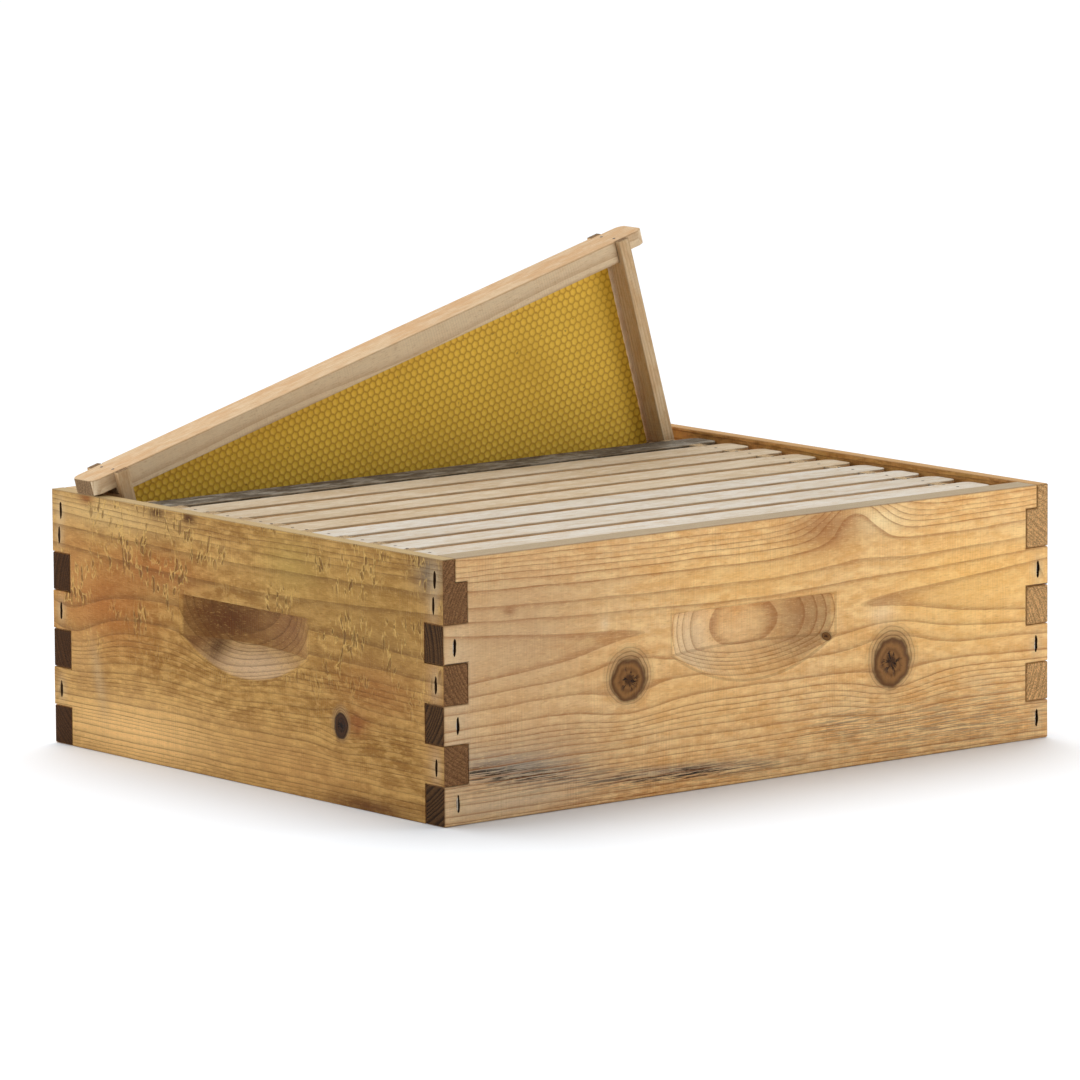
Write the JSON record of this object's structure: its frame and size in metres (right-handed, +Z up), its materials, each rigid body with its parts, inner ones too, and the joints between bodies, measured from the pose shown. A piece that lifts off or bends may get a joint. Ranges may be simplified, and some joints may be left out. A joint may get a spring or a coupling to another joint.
{
  "type": "beehive body box with frames",
  "caption": "Open finger-jointed wooden hive box with handholds, holding removable hanging frames of embossed foundation, one of them lifted out and leaning across the rim.",
  "frame": {"origin": "middle of the box on the floor, at the centre of its bottom opening", "axes": "+X along the long side boards, +Y from the front side board to the rear one where the leaning frame stands, +Z up"},
  "size_m": [0.5086, 0.4128, 0.3088],
  "materials": {
    "side_board_wood": "planed pine with a thin golden wax or oil finish, satin",
    "end_board_wood": "planed pine with a thin ochre wax or oil finish, satin",
    "frame_wood": "bare planed pine, matt",
    "weathered_bar": "bare pine greyed by weather, matt",
    "foundation_wax": "embossed sheet with a thin coat of golden beeswax, soft sheen"
  },
  "bodies": {
    "box": {"front_side_board": "side_board_wood", "rear_side_board": "side_board_wood", "left_end_board": "end_board_wood", "right_end_board": "end_board_wood"},
    "frame_1": {"frame_1_top_bar": "frame_wood", "frame_1_left_end_bar": "frame_wood", "frame_1_right_end_bar": "frame_wood", "frame_1_bottom_bar": "frame_wood", "frame_1_foundation": "foundation_wax"},
    "frame_2": {"frame_2_top_bar": "frame_wood", "frame_2_left_end_bar": "frame_wood", "frame_2_right_end_bar": "frame_wood", "frame_2_bottom_bar": "frame_wood", "frame_2_foundation": "foundation_wax"},
    "frame_3": {"frame_3_top_bar": "frame_wood", "frame_3_left_end_bar": "frame_wood", "frame_3_right_end_bar": "frame_wood", "frame_3_bottom_bar": "frame_wood", "frame_3_foundation": "foundation_wax"},
    "frame_4": {"frame_4_top_bar": "frame_wood", "frame_4_left_end_bar": "frame_wood", "frame_4_right_end_bar": "frame_wood", "frame_4_bottom_bar": "frame_wood", "frame_4_foundation": "foundation_wax"},
    "frame_5": {"frame_5_top_bar": "frame_wood", "frame_5_left_end_bar": "frame_wood", "frame_5_right_end_bar": "frame_wood", "frame_5_bottom_bar": "frame_wood", "frame_5_foundation": "foundation_wax"},
    "frame_6": {"frame_6_top_bar": "frame_wood", "frame_6_left_end_bar": "frame_wood", "frame_6_right_end_bar": "frame_wood", "frame_6_bottom_bar": "frame_wood", "frame_6_foundation": "foundation_wax"},
    "frame_7": {"frame_7_top_bar": "frame_wood", "frame_7_left_end_bar": "frame_wood", "frame_7_right_end_bar": "frame_wood", "frame_7_bottom_bar": "frame_wood", "frame_7_foundation": "foundation_wax"},
    "frame_8": {"frame_8_top_bar": "frame_wood", "frame_8_left_end_bar": "frame_wood", "frame_8_right_end_bar": "frame_wood", "frame_8_bottom_bar": "frame_wood", "frame_8_foundation": "foundation_wax"},
    "frame_9": {"frame_9_top_bar": "weathered_bar", "frame_9_left_end_bar": "frame_wood", "frame_9_right_end_bar": "frame_wood", "frame_9_bottom_bar": "frame_wood", "frame_9_foundation": "foundation_wax"},
    "leaning_frame": {"frame_10_top_bar": "frame_wood", "frame_10_left_end_bar": "frame_wood", "frame_10_right_end_bar": "frame_wood", "frame_10_bottom_bar": "frame_wood", "frame_10_foundation": "foundation_wax"}
  },
  "joints": [
    {"name": "frame_1_lift", "type": "slide", "parent": "box", "child": "frame_1", "axis": [0, 0, 1], "range_m": [0, 0.18]},
    {"name": "frame_2_lift", "type": "slide", "parent": "box", "child": "frame_2", "axis": [0, 0, 1], "range_m": [0, 0.18]},
    {"name": "frame_3_lift", "type": "slide", "parent": "box", "child": "frame_3", "axis": [0, 0, 1], "range_m": [0, 0.18]},
    {"name": "frame_4_lift", "type": "slide", "parent": "box", "child": "frame_4", "axis": [0, 0, 1], "range_m": [0, 0.18]},
    {"name": "frame_5_lift", "type": "slide", "parent": "box", "child": "frame_5", "axis": [0, 0, 1], "range_m": [0, 0.18]},
    {"name": "frame_6_lift", "type": "slide", "parent": "box", "child": "frame_6", "axis": [0, 0, 1], "range_m": [0, 0.18]},
    {"name": "frame_7_lift", "type": "slide", "parent": "box", "child": "frame_7", "axis": [0, 0, 1], "range_m": [0, 0.18]},
    {"name": "frame_8_lift", "type": "slide", "parent": "box", "child": "frame_8", "axis": [0, 0, 1], "range_m": [0, 0.18]},
    {"name": "frame_9_lift", "type": "slide", "parent": "box", "child": "frame_9", "axis": [0, 0, 1], "range_m": [0, 0.18]},
    {"name": "leaning_frame_tip", "type": "hinge", "parent": "box", "child": "leaning_frame", "pos_m": [-0.2524, 0.168, 0.1683], "axis": [0, -1, 0], "range_deg": [0, 60]}
  ]
}
